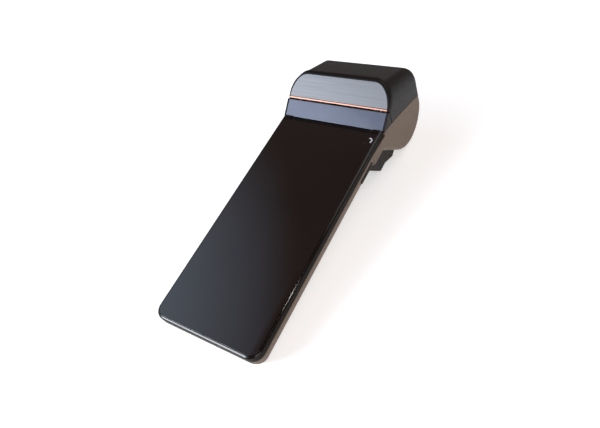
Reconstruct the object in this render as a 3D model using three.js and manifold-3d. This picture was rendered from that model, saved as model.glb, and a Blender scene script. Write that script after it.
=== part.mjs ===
// Handheld card payment terminal with a built-in receipt printer.
//
// The terminal is drawn in its own "slab frame": x across, y from the front edge of the glass towards
// the printer head, z out of the screen with the glass at z = 0. The whole assembly is then tilted to the
// way it rests on a table, on its front pads and on the pad under the printer housing.
// Millimetres, +Z up. The origin is the centre of the bottom of the resting terminal's box.

import * as THREE from 'three';
import { mergeVertices } from 'three/addons/utils/BufferGeometryUtils.js';
import Module from 'manifold-3d';

// ---- driving dimensions ----
const GAP = 0.3;                  // clearance between neighbouring pieces
const BODY_WIDTH = 80;            // slab across its bezel
const GLASS_WIDTH = 77;
const GLASS_LENGTH = 166.4;
const GLASS_THICK = 0.9;
const BEZEL_HEIGHT = 5;
const BEZEL_CORNER = 8;
const BEZEL_EDGE = 1.6;           // rounding of the bezel's top edge
const SLAB_DEPTH = 15.5;          // glass face to the underside
const CASING_WALL = 1.8;
const HEAD_WIDTH = 82;            // printer head across its sides
const HEAD_FRONT = 170.4;         // where the head starts
const ROLL_Y = 204.6;             // paper roll centre line
const ROLL_Z = -21.8;
const HOUSING_RADIUS = 24.8;      // outside of the round paper housing
const HOUSING_EDGE = 4.5;         // rounding of its side edges
const HOUSING_SLOPE = 47.5 * Math.PI / 180;   // of the ramp under the head
const PARTING_GAP = 0.2;          // each side of the line between head and casing
const WELL_RADIUS = 21.5;         // inside of the paper well, for a 40 mm roll
const PAPER_WIDTH = 57.5;
const PLATEN_Y = 191.5;           // platen roller centre line
const PLATEN_Z = 2;
const PLATEN_RADIUS = 4.5;
const HINGE_Y = 228;              // lid hinge centre line
const HINGE_Z = -21.6;
const KNUCKLE_RADIUS = 2;
const GEAR_MODULE = 0.6;
const PLATEN_TEETH = 18;
const IDLER_TEETH = 26;
const PINION_TEETH = 10;
const REST_TILT = 9.1 * Math.PI / 180;
const GROUND_DROP = 15.5;         // table plane below the slab frame's origin

// ---- derived places ----
const HALF_BODY = BODY_WIDTH / 2;
const HALF_GLASS = GLASS_WIDTH / 2;
const HALF_HEAD = HEAD_WIDTH / 2;
const FLOOR_Z = -SLAB_DEPTH + CASING_WALL;
const REAR_Y = ROLL_Y + HOUSING_RADIUS;
const CASING_TOP = -BEZEL_HEIGHT - GAP;
const PANEL_FOOT = [HEAD_FRONT, -1.4];
const PANEL_TOP = [181.1, 5.55];
const PLATE_FOOT = [181.75, 6.05];
const PLATE_TOP = [197.6, 19.3];
const RIM = 1.2;                  // rounded border around the front plate and the lower panel
const RIM_DEPTH = 4.4;
const HALF_PLATE = HALF_HEAD - RIM;
const TRIM_HEIGHT = 0.9;          // copper line under the front plate
const LID_WALL = 2;
const CAP_DEPTH = 4.4;            // front cap of the lid, which stands a step above the cover behind it
const CAP_CORNER = 14.2;
const COVER_CORNER = 10.5;
const PLAN_CORNER = 6;            // rear corners of the head seen from above
const CREST = 17.5;               // top of the cover where it meets the cap
const CROWN_END = [REAR_Y, 2.6];
const FAR = 120;                  // beyond the object, for cutting blocks

// ---- materials ----
const finish = (color, roughness, metalness = 0) =>
  new THREE.MeshStandardMaterial({ color, roughness, metalness });
const TAUPE = finish(0x74675d, 0.55);
const BLACK_GLOSS = finish(0x14110f, 0.12);
const BLACK_SATIN = finish(0x282628, 0.4);
const DARK_PLASTIC = finish(0x2f2a27, 0.6);
const SCREEN_GLASS = finish(0x1a1412, 0.05);
const GREY_GLOSS = finish(0x7d8798, 0.2, 0.3);
const BRUSHED = finish(0xa3a8b0, 0.35, 0.9);
const COPPER = finish(0xd9a084, 0.3, 0.9);
const STEEL = finish(0xb8babd, 0.3, 1);
const ALUMINIUM = finish(0x9a9ca0, 0.45, 0.9);
const BRASS = finish(0xb08d4c, 0.35, 1);
const RUBBER = finish(0x1d1d1d, 0.9);
const BOARD = finish(0x17402c, 0.5);
const NYLON = finish(0xd8d4c8, 0.6);
const BATTERY_WRAP = finish(0x3a3d44, 0.5);
const LENS = finish(0x0c1018, 0.05);

// ---- outlines ----

// Closed outline through corners [a, b, radius]; a corner with a radius becomes an arc.
function outline(corners, degreesPerStep = 22.5) {
  const points = [];
  corners.forEach(([a, b, radius = 0], i) => {
    const corner = new THREE.Vector2(a, b);
    if (radius === 0) {
      points.push(corner);
      return;
    }
    const [pa, pb] = corners[(i + corners.length - 1) % corners.length];
    const [na, nb] = corners[(i + 1) % corners.length];
    const back = new THREE.Vector2(pa, pb).sub(corner).normalize();
    const ahead = new THREE.Vector2(na, nb).sub(corner).normalize();
    const half = Math.acos(THREE.MathUtils.clamp(back.dot(ahead), -1, 1)) / 2;
    const centre = back.clone().add(ahead).normalize().multiplyScalar(radius / Math.sin(half)).add(corner);
    const first = corner.clone().addScaledVector(back, radius / Math.tan(half)).sub(centre);
    const last = corner.clone().addScaledVector(ahead, radius / Math.tan(half)).sub(centre);
    const turn = Math.atan2(first.cross(last), first.dot(last));
    const steps = Math.max(2, Math.ceil(Math.abs(turn) * 180 / Math.PI / degreesPerStep));
    for (let k = 0; k <= steps; k += 1) {
      points.push(first.clone().rotateAround(new THREE.Vector2(), turn * k / steps).add(centre));
    }
  });
  return points;
}

const rectangle = (a0, b0, a1, b1, radius = 0) => outline([
  [a0, b0, radius], [a1, b0, radius], [a1, b1, radius], [a0, b1, radius]]);

function circle(a, b, radius, steps = 24) {
  return Array.from({ length: steps }, (_, i) => {
    const angle = 2 * Math.PI * (i + 0.5) / steps;
    return new THREE.Vector2(a + radius * Math.cos(angle), b + radius * Math.sin(angle));
  });
}

// ---- solids ----

function extruded(points, depth, options = { bevelEnabled: false }) {
  return new THREE.ExtrudeGeometry(new THREE.Shape(points), { depth, steps: 1, ...options });
}

// Rounding of a prism's end edges: across the outline by size, along the prism by thickness.
const rounding = (size, thickness, segments = 3) => ({
  bevelEnabled: true, bevelThickness: thickness, bevelSize: size, bevelOffset: -size, bevelSegments: segments,
});

// Prism of an (x, y) outline between two heights.
const alongZ = (points, z0, z1) => extruded(points, z1 - z0).translate(0, 0, z0);

// Prism of a (y, z) outline between two places across the terminal, with its end edges rounded by edge.
function alongX(points, x0, x1, edge = 0) {
  const ends = edge ? rounding(edge, edge) : undefined;
  const body = extruded(points, x1 - x0 - 2 * edge, ends).translate(0, 0, edge);
  const turn = new THREE.Matrix4().makeBasis(
    new THREE.Vector3(0, 1, 0), new THREE.Vector3(0, 0, 1), new THREE.Vector3(1, 0, 0));
  return body.applyMatrix4(turn).translate(x0, 0, 0);
}

// Prism of an (x, z) outline between two places along the terminal.
function alongY(points, y0, y1) {
  return extruded(points, y1 - y0).rotateX(Math.PI / 2).translate(0, y1, 0);
}

const block = (x0, x1, y0, y1, z0, z1) => new THREE.BoxGeometry(x1 - x0, y1 - y0, z1 - z0)
  .translate((x0 + x1) / 2, (y0 + y1) / 2, (z0 + z1) / 2);

const rodX = (x0, x1, y, z, radius, steps = 24) => alongX(circle(y, z, radius, steps), x0, x1);
const rodZ = (x, y, z0, z1, radius, steps = 20) => alongZ(circle(x, y, radius, steps), z0, z1);

// ---- joining and cutting ----
const wasm = await Module();
wasm.setup();

function solid(geometry) {
  const bare = geometry.clone();
  bare.deleteAttribute('normal');
  bare.deleteAttribute('uv');
  const merged = mergeVertices(bare, 1e-4);
  return new wasm.Manifold(new wasm.Mesh({
    numProp: 3,
    vertProperties: new Float32Array(merged.attributes.position.array),
    triVerts: new Uint32Array(merged.index.array),
  }));
}

function toGeometry(body) {
  const mesh = body.getMesh();
  const geometry = new THREE.BufferGeometry();
  geometry.setAttribute('position', new THREE.BufferAttribute(new Float32Array(mesh.vertProperties), 3));
  geometry.setIndex(new THREE.BufferAttribute(new Uint32Array(mesh.triVerts), 1));
  geometry.computeVertexNormals();
  return geometry;
}

const join = (first, ...rest) => toGeometry(rest.reduce((sum, one) => sum.add(solid(one)), solid(first)));
const cut = (first, ...tools) =>
  toGeometry(tools.reduce((left, one) => left.subtract(solid(one)), solid(first)));
const common = (first, ...rest) =>
  toGeometry(rest.reduce((left, one) => left.intersect(solid(one)), solid(first)));

// ---- shared profiles ----

// Slab outline seen from above, drawn in by inset; its head end is square.
const slabOutline = (inset, rearY) => {
  const side = HALF_BODY - inset;
  const radius = BEZEL_CORNER - inset * 0.8;
  return outline([[-side, inset - 1.5, radius], [side, inset - 1.5, radius], [side, rearY], [-side, rearY]]);
};

// Block with that outline whose lower edges are rounded over a quarter ellipse.
function keelBlock(inset, rearY, zTop, zBottom, roll) {
  const height = zTop - zBottom;
  const body = extruded(slabOutline(inset, rearY + roll), height, rounding(roll, height - 0.5, 4))
    .translate(0, 0, zTop - 0.5);
  return common(body, block(-FAR, FAR, -FAR, rearY, zBottom - 1, zTop));
}

// Side curve where the dark upper head meets the lower casing.
const partingCurve = new THREE.QuadraticBezierCurve(
  new THREE.Vector2(HEAD_FRONT, -2.4), new THREE.Vector2(184, -4.2), new THREE.Vector2(REAR_Y, HINGE_Z));

// Everything above or below that curve, shifted by lift.
function partingHalf(above, lift) {
  const curve = partingCurve.getPoints(10).map((p) => new THREE.Vector2(p.x, p.y + lift));
  const side = above ? FAR : -FAR;
  const points = [new THREE.Vector2(-FAR, curve[0].y), ...curve, new THREE.Vector2(300, curve[10].y),
    new THREE.Vector2(300, side), new THREE.Vector2(-FAR, side)];
  return alongX(points, -FAR, FAR);
}

// Arch across the head, drawn in by inset. Its front end leans with the front plate, with its edge there
// rounded over by rim; it runs back along the falling crown.
function archPrism(inset, rim = RIM, crest = CREST, corner = COVER_CORNER) {
  const lean = (PLATE_TOP[0] - PLATE_FOOT[0]) / (PLATE_TOP[1] - PLATE_FOOT[1]);
  const fall = (crest - CROWN_END[1]) / (CROWN_END[0] - PLATE_TOP[0]);
  const side = HALF_HEAD - inset;
  const top = crest - inset;
  const arch = outline([[-side, -60], [side, -60],
    [side, top, corner - inset], [-side, top, corner - inset]], 15);
  const length = 90;
  const front = rim ? RIM_DEPTH : -10;
  const prism = extruded(arch, length, rim ? rounding(rim, RIM_DEPTH) : undefined)
    .rotateX(Math.PI / 2).translate(0, length + front, 0);
  const shear = new THREE.Matrix4().set(
    1, 0, 0, 0,
    0, 1, lean, PLATE_TOP[0] - PLATE_TOP[1] * lean,
    0, -fall, 1, 0,
    0, 0, 0, 1);
  return prism.applyMatrix4(shear);
}

// Head seen from above, drawn in by inset, with rounded rear corners.
const headPlan = (inset, yFront = 150) => alongZ(outline([
  [-HALF_HEAD + inset, yFront], [HALF_HEAD - inset, yFront],
  [HALF_HEAD - inset, REAR_Y - inset, PLAN_CORNER - inset],
  [-HALF_HEAD + inset, REAR_Y - inset, PLAN_CORNER - inset]]), -60, 60);

// A point moved along the inward normal of the front plate.
const PLATE_RUN = new THREE.Vector2(...PLATE_TOP).sub(new THREE.Vector2(...PLATE_FOOT)).normalize();
const intoPlate = ([y, z], depth) => [y + PLATE_RUN.y * depth, z - PLATE_RUN.x * depth];
const PANEL_RUN = new THREE.Vector2(...PANEL_TOP).sub(new THREE.Vector2(...PANEL_FOOT)).normalize();
const intoPanel = ([y, z], depth) => [y + PANEL_RUN.y * depth, z - PANEL_RUN.x * depth];

// ---- scene graph ----
const terminal = new THREE.Group();
terminal.name = 'card_payment_terminal';
const slab = new THREE.Group();
const head = new THREE.Group();
const lid = new THREE.Group();
terminal.add(slab, head, lid);

function piece(group, name, geometry, material) {
  const mesh = new THREE.Mesh(geometry, material);
  mesh.name = name;
  group.add(mesh);
  return mesh;
}

// Height of the table under the tilted terminal, in the slab frame.
const tableZ = (y) => (-GROUND_DROP - y * Math.sin(REST_TILT)) / Math.cos(REST_TILT);

// ---- screen side ----

function addScreen() {
  const roundedTop = extruded(slabOutline(0, HEAD_FRONT + 10), 20, rounding(BEZEL_EDGE, BEZEL_EDGE))
    .translate(0, 0, -20 - BEZEL_EDGE);
  const glassPlan = (grow) => outline([
    [-HALF_GLASS - grow, -grow, 6.5], [HALF_GLASS + grow, -grow, 6.5],
    [HALF_GLASS + grow, GLASS_LENGTH + grow, 1.5], [-HALF_GLASS - grow, GLASS_LENGTH + grow, 1.5]]);
  const glassSeat = alongZ(glassPlan(0.15), -1.2, 5);
  const through = alongZ(rectangle(-36.5, 2, 36.5, 164, 4), -9, 0);
  const slotSeat = block(-33.3, 33.3, 166.9, HEAD_FRONT, -2.8, 5);
  piece(slab, 'front_bezel', cut(
    common(roundedTop, block(-FAR, FAR, -FAR, HEAD_FRONT - GAP, -BEZEL_HEIGHT, 5)),
    glassSeat, through, slotSeat), BLACK_GLOSS);
  piece(slab, 'touch_glass', alongZ(glassPlan(-0.1), -GLASS_THICK, 0), SCREEN_GLASS);
  piece(slab, 'display_module', alongZ(rectangle(-34.5, 8, 34.5, 152, 1), -3.1, -1.3), BLACK_SATIN);
  piece(slab, 'front_camera', rodZ(33, 157, -4, -1.2, 2.4), LENS);

  const ribs = [-5, -2.5, 0, 2.5, 5].map((offset) => block(-30, 30, 168.55 + offset * 0.22 - 0.12,
    168.55 + offset * 0.22 + 0.12, -1.6, 0));
  piece(slab, 'speaker_slot', cut(block(-33, 33, 167.2, HEAD_FRONT - GAP, -2.5, -0.9), ...ribs), BLACK_SATIN);
}

// ---- works inside the slab ----
const BOSSES = [[-32.5, 98], [32.5, 98], [-32.5, 124], [32.5, 124]];

function addChassis() {
  const plate = alongZ(rectangle(-36, 2.6, 36, 163.4, 4), -4.6, -3.5);
  const bosses = BOSSES.map(([x, y]) => rodZ(x, y, -12.2, -4.5, 2.4));
  const holes = BOSSES.map(([x, y]) => rodZ(x, y, -13, -6, 1.1));
  const cutouts = [30, 60, 110, 135].map((y) => alongZ(rectangle(-10, y, 10, y + 14, 3), -6, 0));
  const cameraHole = rodZ(33, 157, -6, 0, 2.8);
  piece(slab, 'mid_frame', cut(join(plate, ...bosses), ...holes, ...cutouts, cameraHole), ALUMINIUM);
}

function addElectronics() {
  piece(slab, 'battery_pack', alongZ(rectangle(-29.5, 16, 29.5, 90, 2.5), -13.2, -5.6), BATTERY_WRAP);
  piece(slab, 'battery_connector', block(-8, 8, 90.6, 94.6, -10, -7.1), BLACK_SATIN);
  piece(slab, 'main_board', alongZ(rectangle(-28.5, 92, 28.5, 160, 1.5), -6.7, -5.7), BOARD);
  piece(slab, 'processor_shield', alongZ(rectangle(-26, 120, -2, 146, 1), -8.6, -7), STEEL);
  piece(slab, 'radio_shield', alongZ(rectangle(3, 122, 25, 140, 1), -8.6, -7), STEEL);
  piece(slab, 'sam_card_socket', cut(block(-26, -10, 100, 114, -8.8, -7),
    block(-24.5, -11.5, 99, 112, -8.2, -7.4)), STEEL);
  piece(slab, 'loudspeaker', alongZ(rectangle(12, 102, 30, 114, 2), -12.6, -9.2), BLACK_SATIN);
  piece(slab, 'contactless_antenna', cut(alongZ(rectangle(-28, 100, 8, 146, 4), -13.3, -12.9),
    alongZ(rectangle(-23, 105, 3, 141, 2), -14, -12)), COPPER);
}

// ---- side controls and socket ----
const KEY_Z = -9.6;
const USB_Y = 58;

// Rounded bar on a side wall with a flange behind the wall; side is 1 on the right, -1 on the left.
function addSideKey(name, side, yFrom, yTo, material) {
  const bar = alongX(rectangle(yFrom, KEY_Z - 1.5, yTo, KEY_Z + 1.5, 1.3), 34.9, 40.1);
  const flange = block(34.6, 35.8, yFrom - 1.6, yTo + 1.6, KEY_Z - 2.1, KEY_Z + 2.1);
  const geometry = join(bar, flange);
  if (side < 0) geometry.rotateZ(Math.PI).translate(0, yFrom + yTo, 0);
  piece(slab, name, geometry, material);
}

function addControls() {
  addSideKey('volume_key', 1, 131.8, 149.5, DARK_PLASTIC);
  addSideKey('power_key', -1, 135, 146, DARK_PLASTIC);
  const [low, high] = [USB_Y - 4.5, USB_Y + 4.5];
  const shell = alongX(rectangle(low, -11.2, high, -8, 1.5), -38.6, -31.4);
  const mouth = alongX(rectangle(low + 0.35, -10.85, high - 0.35, -8.35, 1.2), -40, -32.2);
  const tongue = block(-37.6, -32, USB_Y - 3.2, USB_Y + 3.2, -9.9, -9.3);
  piece(slab, 'usb_c_socket', join(cut(shell, mouth), tongue), STEEL);
}

// ---- lower casing ----

// Side profile of the printer housing, drawn in by inset: ramp, round paper housing, open top.
function housingProfile(inset) {
  const radius = HOUSING_RADIUS - inset;
  const tangent = [ROLL_Y - radius * Math.sin(HOUSING_SLOPE), ROLL_Z - radius * Math.cos(HOUSING_SLOPE)];
  const rise = -SLAB_DEPTH + inset - tangent[1];
  const points = [new THREE.Vector2(tangent[0] - rise / Math.tan(HOUSING_SLOPE), -SLAB_DEPTH + inset)];
  for (let angle = 180 + 42.5; angle <= 360.1; angle += 137.5 / 11) {
    const turn = angle * Math.PI / 180;
    points.push(new THREE.Vector2(ROLL_Y + radius * Math.cos(turn), ROLL_Z + radius * Math.sin(turn)));
  }
  points.push(new THREE.Vector2(REAR_Y - inset, 20), new THREE.Vector2(150, 20),
    new THREE.Vector2(150, -SLAB_DEPTH + inset));
  return points;
}

const SPEAKER_SLOTS = [-4.5, -1.5, 1.5, 4.5];
const COVER_PLAN = [-31, 14, 31, 92];

function addCasing() {
  const outer = join(
    keelBlock(0, 172, CASING_TOP, -SLAB_DEPTH, 5),
    common(alongX(housingProfile(0), -HALF_HEAD, HALF_HEAD, HOUSING_EDGE), headPlan(0, HEAD_FRONT),
      partingHalf(false, -PARTING_GAP)),
    common(alongX(housingProfile(0), -HALF_BODY, HALF_BODY, HOUSING_EDGE),
      block(-FAR, FAR, 150, 172, -60, CASING_TOP)));
  const slabRoom = keelBlock(2, 170, CASING_TOP + 1, FLOOR_Z, 4.2);
  const headRoom = common(alongX(housingProfile(CASING_WALL), -37.9, 37.9, 2.5), headPlan(CASING_WALL));
  const groove = rodX(-31, 31, HINGE_Y, HINGE_Z, KNUCKLE_RADIUS + GAP);
  const relief = rodX(-39, 39, HINGE_Y, HINGE_Z, 1.8);
  const shell = cut(outer, slabRoom, headRoom, groove, relief);
  const knuckles = [[-30, -20.3], [-9.85, 9.85], [20.3, 30]].map(([x0, x1]) => join(
    rodX(x0, x1, HINGE_Y, HINGE_Z, KNUCKLE_RADIUS),
    block(x0, x1, HINGE_Y - 1.9, HINGE_Y + 0.6, HINGE_Z - 4.5, HINGE_Z - 0.6)));
  const keyHoles = [
    alongX(rectangle(131.8 - GAP, KEY_Z - 1.8, 149.5 + GAP, KEY_Z + 1.8, 1.5), 30, 45),
    alongX(rectangle(135 - GAP, KEY_Z - 1.8, 146 + GAP, KEY_Z + 1.8, 1.5), -45, -30),
    alongX(rectangle(USB_Y - 4.8, -11.5, USB_Y + 4.8, -7.7, 1.8), -45, -30)];
  const screwHoles = BOSSES.flatMap(([x, y]) => [rodZ(x, y, -20, -12, 1.2), rodZ(x, y, -20, -14.1, 2.5)]);
  const soundHoles = SPEAKER_SLOTS.map((offset) => alongZ(
    rectangle(21 + offset - 0.6, 103, 21 + offset + 0.6, 113, 0.55), -20, -12));
  const coverHole = alongZ(rectangle(...COVER_PLAN, 3), -20, -12);
  piece(slab, 'rear_casing', cut(join(shell, ...knuckles),
    rodX(-32, 32, HINGE_Y, HINGE_Z, 0.95), coverHole, ...keyHoles, ...screwHoles, ...soundHoles), TAUPE);

  const [x0, y0, x1, y1] = COVER_PLAN;
  piece(slab, 'battery_cover', cut(
    alongZ(rectangle(x0 + GAP, y0 + GAP, x1 - GAP, y1 - GAP, 2.8), -SLAB_DEPTH, -13.9),
    alongX(circle(y0 - 1, -SLAB_DEPTH - 1, 4, 20), -8, 8)), TAUPE);
  BOSSES.forEach(([x, y], i) => {
    const socket = alongZ(circle(x, y, 0.85, 6), -16, -14.5);
    piece(slab, `casing_screw_${i + 1}`,
      cut(join(rodZ(x, y, -15.3, -14.3, 2), rodZ(x, y, -14.4, -7, 0.8, 12)), socket), STEEL);
  });
}

// Pads the terminal rests on; their lower faces lie in the table plane.
function addPads() {
  const padProfile = (top) => [...top, new THREE.Vector2(top.at(-1).x, tableZ(top.at(-1).x)),
    new THREE.Vector2(top[0].x, tableZ(top[0].x))];
  [['left', -27], ['right', 27]].forEach(([side, x]) => {
    const top = [6, 12].map((y) => new THREE.Vector2(y, -SLAB_DEPTH - GAP));
    piece(slab, `front_pad_${side}`, alongX(padProfile(top), x - 6, x + 6), RUBBER);
  });
  const lowest = ROLL_Y - HOUSING_RADIUS * Math.sin(REST_TILT);
  const top = [-5, -2.5, 0, 2.5, 5].map((step) => {
    const y = lowest + step;
    return new THREE.Vector2(y, ROLL_Z - Math.sqrt((HOUSING_RADIUS + GAP) ** 2 - (y - ROLL_Y) ** 2));
  });
  piece(slab, 'housing_pad', alongX(padProfile(top), -26, 26), RUBBER);
}

// ---- camera block under the ramp ----
const CAMERA_Y = 167.3;
const POD_FLOOR = -37;

function addCameraBlock() {
  const ramp = alongX(housingProfile(-GAP), -FAR, FAR);
  const body = alongX(outline([[149.5, -SLAB_DEPTH - GAP], [160, -SLAB_DEPTH - GAP], [188, -33],
    [186.5, -40.4, 1], [182.5, -42.4, 1], [171.2, POD_FLOOR, 1.5], [163.4, POD_FLOOR, 1.5],
    [150.5, -21, 1]]), -34.5, 34.5, 0.8);
  const window = rodZ(-9, CAMERA_Y, POD_FLOOR - 1, POD_FLOOR + 1, 3.1);
  const lampSeat = rodZ(3, CAMERA_Y, POD_FLOOR - 1, POD_FLOOR + 1, 2.3);
  piece(slab, 'camera_block', cut(body, ramp, window, lampSeat), DARK_PLASTIC);
  piece(slab, 'camera_ring', cut(rodZ(-9, CAMERA_Y, POD_FLOOR + 0.1, POD_FLOOR + 0.8, 2.9, 28),
    rodZ(-9, CAMERA_Y, POD_FLOOR - 1, POD_FLOOR + 2, 2.1, 28)), ALUMINIUM);
  piece(slab, 'camera_lens', rodZ(-9, CAMERA_Y, POD_FLOOR + 0.3, POD_FLOOR + 0.8, 1.9), LENS);
  piece(slab, 'camera_lamp', rodZ(3, CAMERA_Y, POD_FLOOR + 0.2, POD_FLOOR + 0.8, 2.1), NYLON);
}

// ---- fixed front of the head ----

function addHeadFront() {
  const [backY, backZ] = [182, -6.2];
  const profile = outline([[HEAD_FRONT, -4.8], PANEL_FOOT, PANEL_TOP, [backY + 0.1, PANEL_TOP[1] - 0.7],
    [backY, backZ]]);
  const inner = outline([[HEAD_FRONT - 5, -12], [HEAD_FRONT + 2.4, -3], intoPanel(PANEL_TOP, 3),
    [backY + 5, 2], [backY + 5, -12]]);
  const seat = alongX([intoPanel(PANEL_FOOT, 1.3), intoPanel(PANEL_FOOT, -5), intoPanel(PANEL_TOP, -5),
    intoPanel(PANEL_TOP, 1.3)].map(([y, z]) => new THREE.Vector2(y, z)), -HALF_PLATE, HALF_PLATE);
  const body = common(alongX(profile, -HALF_HEAD, HALF_HEAD), partingHalf(true, PARTING_GAP));
  piece(head, 'head_front', cut(body, alongX(inner, -HALF_HEAD + 2, HALF_HEAD - 2), seat), BLACK_SATIN);

  const along = (point, distance) => [point[0] + PANEL_RUN.x * distance, point[1] + PANEL_RUN.y * distance];
  const panel = [intoPanel(along(PANEL_FOOT, 0.3), 1), intoPanel(along(PANEL_FOOT, 0.3), 0),
    intoPanel(along(PANEL_TOP, -0.3), 0), intoPanel(along(PANEL_TOP, -0.3), 1)];
  piece(head, 'lower_front_panel', alongX(panel.map(([y, z]) => new THREE.Vector2(y, z)),
    -HALF_PLATE + GAP, HALF_PLATE - GAP), GREY_GLOSS);

  const teeth = [new THREE.Vector2(-29, -1), new THREE.Vector2(29, -1)];
  for (let x = 29; x > -28.9; x -= 2) {
    teeth.push(new THREE.Vector2(x, 3.6), new THREE.Vector2(x - 1, 4.6));
  }
  teeth.push(new THREE.Vector2(-29, 3.6));
  piece(head, 'tear_bar', alongY(teeth, 182.5, 183), STEEL);
}

// ---- printing works ----

// Spur gear on the x axis, with a bore; tooth flanks are straight. A tooth points at angle first.
function gear(teeth, thickness, bore, first) {
  const pitchRadius = GEAR_MODULE * teeth / 2;
  const root = pitchRadius - 1.25 * GEAR_MODULE;
  const tip = pitchRadius + 0.9 * GEAR_MODULE;
  const points = [];
  for (let i = 0; i < teeth; i += 1) {
    const middle = first + 2 * Math.PI * i / teeth;
    [[root, -0.31], [tip, -0.1], [tip, 0.1], [root, 0.31]].forEach(([radius, share]) => {
      const angle = middle + share * 2 * Math.PI / teeth;
      points.push(new THREE.Vector2(radius * Math.cos(angle), radius * Math.sin(angle)));
    });
  }
  return cut(alongX(points, 0, thickness), rodX(-1, thickness + 1, 0, 0, bore, 20));
}

// Direction in which the opening lid carries the platen roller away.
const openingRun = new THREE.Vector2(PLATEN_Z - HINGE_Z, HINGE_Y - PLATEN_Y).normalize();
const GEAR_X = 34.2;
const idlerCentre = new THREE.Vector2(PLATEN_Y, PLATEN_Z)
  .addScaledVector(openingRun, -GEAR_MODULE * (PLATEN_TEETH + IDLER_TEETH) / 2 - 0.1);
const pinionRun = new THREE.Vector2(-0.8, -0.6);
const pinionCentre = idlerCentre.clone()
  .addScaledVector(pinionRun, GEAR_MODULE * (IDLER_TEETH + PINION_TEETH) / 2 + 0.1);

function addPrinter() {
  const wellOuter = WELL_RADIUS + 1.3;
  const liner = cut(rodX(-PAPER_WIDTH / 2 - 2, PAPER_WIDTH / 2 + 2, ROLL_Y, ROLL_Z, wellOuter, 36),
    rodX(-PAPER_WIDTH / 2 - 0.5, PAPER_WIDTH / 2 + 0.5, ROLL_Y, ROLL_Z, WELL_RADIUS, 36),
    alongX(outline([[150, -13], [260, -38], [260, 60], [150, 60]]), -FAR, FAR));
  piece(head, 'paper_well', liner, BLACK_SATIN);

  // Side plates with an open slot each that takes the platen bushes, joined by a cross bar.
  const slotEnd = new THREE.Vector2(PLATEN_Y, PLATEN_Z).addScaledVector(openingRun, 12);
  const across = new THREE.Vector2(-openingRun.y, openingRun.x).multiplyScalar(2.5);
  const slot = [new THREE.Vector2(PLATEN_Y, PLATEN_Z).sub(across), slotEnd.clone().sub(across),
    slotEnd.clone().add(across), new THREE.Vector2(PLATEN_Y, PLATEN_Z).add(across)];
  const plateProfile = outline([[175.5, -10], [188, -16, 2], [197, -9, 2], [197.5, 3, 2], [192, 6.5, 1],
    [183.6, 1, 1], [175.5, -6, 1]]);
  const sidePlates = [[-33.4, -32.2], [32.2, 33.4]].map(([x0, x1]) => cut(alongX(plateProfile, x0, x1),
    alongX(slot, x0 - 1, x1 + 1), rodX(x0 - 1, x1 + 1, PLATEN_Y, PLATEN_Z, 2.5)));
  const crossBar = block(-33, 33, 175.8, 182.2, -9.6, -8.2);
  const postHole = rodX(30, 35, idlerCentre.x, idlerCentre.y, 1.3);
  piece(head, 'printer_chassis', cut(join(...sidePlates, crossBar), postHole), STEEL);

  // Print head: a heat sink with the heater strip on its face, square to the line to the roller.
  const facing = Math.atan2(0.652, 0.758);
  const printHead = (y0, y1, z0, z1) => {
    const bar = block(-29.5, 29.5, y0, y1, z0, z1);
    return bar.rotateX(facing).translate(0, PLATEN_Y, PLATEN_Z);
  };
  piece(head, 'print_head_sink', printHead(-9, -6.2, -4, 2.4), ALUMINIUM);
  piece(head, 'print_head_strip', printHead(-5.9, -4.9, -2, 2.2), NYLON);

  piece(head, 'feed_motor', rodX(19, 31.8, pinionCentre.x, pinionCentre.y, 5.4, 28), STEEL);
  piece(head, 'idler_post', rodX(31.5, 37.2, idlerCentre.x, idlerCentre.y, 1, 16), STEEL);

  const idler = piece(head, 'idler_gear', gear(IDLER_TEETH, 2.4, 1.12, 0), NYLON);
  const pinion = piece(head, 'motor_pinion', join(gear(PINION_TEETH, 2.6, 0.6, 0),
    rodX(-1.8, 2.7, 0, 0, 0.7, 14)), BRASS);
  const platenGear = piece(lid, 'platen_gear', gear(PLATEN_TEETH, 2.4, 1.8, 0), NYLON);

  // Mesh phases: a platen tooth points at the idler, where the idler and the pinion have a gap.
  const toIdler = Math.atan2(-openingRun.y, -openingRun.x);
  const toPinion = Math.atan2(pinionRun.y, pinionRun.x);
  const idlerTurn = toIdler + Math.PI + Math.PI / IDLER_TEETH;
  const idlerStep = 2 * Math.PI / IDLER_TEETH;
  const offMesh = (((toPinion - idlerTurn) % idlerStep) + idlerStep) % idlerStep / idlerStep;
  platenGear.rotation.x = toIdler;
  idler.rotation.x = idlerTurn;
  pinion.rotation.x = toPinion + Math.PI + (0.5 + offMesh) * 2 * Math.PI / PINION_TEETH;
  platenGear.position.set(GEAR_X, PLATEN_Y, PLATEN_Z);
  idler.position.set(GEAR_X, idlerCentre.x, idlerCentre.y);
  pinion.position.set(GEAR_X - 0.1, pinionCentre.x, pinionCentre.y);
}

// ---- lid ----

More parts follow.
